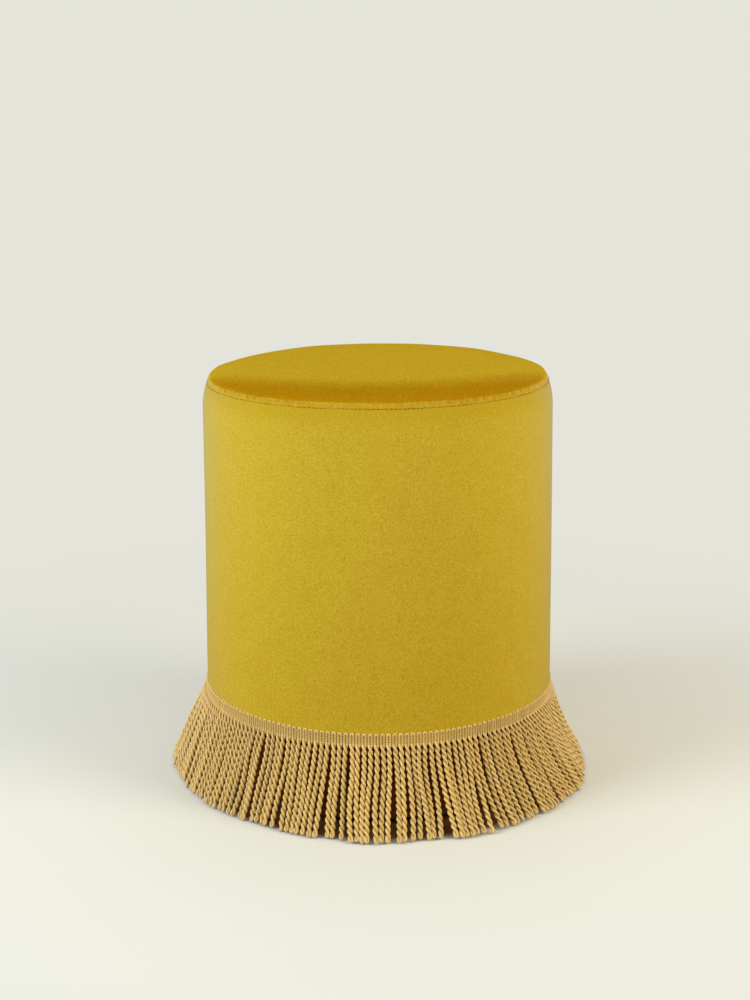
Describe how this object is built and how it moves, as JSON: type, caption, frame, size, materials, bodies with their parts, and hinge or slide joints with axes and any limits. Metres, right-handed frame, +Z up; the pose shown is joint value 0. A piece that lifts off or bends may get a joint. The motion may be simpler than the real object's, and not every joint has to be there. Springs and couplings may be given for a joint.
{
  "type": "tuffet",
  "caption": "Round drum footstool in gold velvet with a stitched seat panel and a twisted bullion fringe that reaches the floor.",
  "frame": {"origin": "on the floor, under the middle of the seat, in the plane of the glides' soles", "axes": "+Z up along the drum's axis, -Y towards the side that faces the viewer, +Y towards the joint of the drum skin and the sleeve's back seam"},
  "size_m": [0.474, 0.474, 0.452],
  "materials": {
    "velvet": "matte",
    "bullion": "matte",
    "foam": "matte",
    "wadding": "matte",
    "ply": "matte",
    "pine": "matte",
    "lining": "matte",
    "glide": "satin",
    "steel": "satin"
  },
  "bodies": {
    "root": {"top_board": "ply", "base_board": "ply", "upright_1": "pine", "upright_2": "pine", "upright_3": "pine", "upright_4": "pine", "upright_5": "pine", "upright_6": "pine", "top_screw_1": "steel", "top_screw_2": "steel", "top_screw_3": "steel", "top_screw_4": "steel", "top_screw_5": "steel", "top_screw_6": "steel", "base_screw_1": "steel", "base_screw_2": "steel", "base_screw_3": "steel", "base_screw_4": "steel", "base_screw_5": "steel", "base_screw_6": "steel", "drum_skin": "ply", "side_padding": "foam", "seat_foam": "foam", "seat_wadding": "wadding", "velvet_top": "velvet", "velvet_side": "velvet", "dust_cover": "lining", "glide_1": "glide", "glide_2": "glide", "glide_3": "glide", "glide_4": "glide", "glide_screw_1": "steel", "glide_screw_2": "steel", "glide_screw_3": "steel", "glide_screw_4": "steel", "fringe_1": "bullion", "fringe_2": "bullion", "fringe_3": "bullion", "fringe_4": "bullion", "fringe_5": "bullion", "fringe_6": "bullion", "fringe_7": "bullion", "fringe_8": "bullion"}
  },
  "joints": []
}
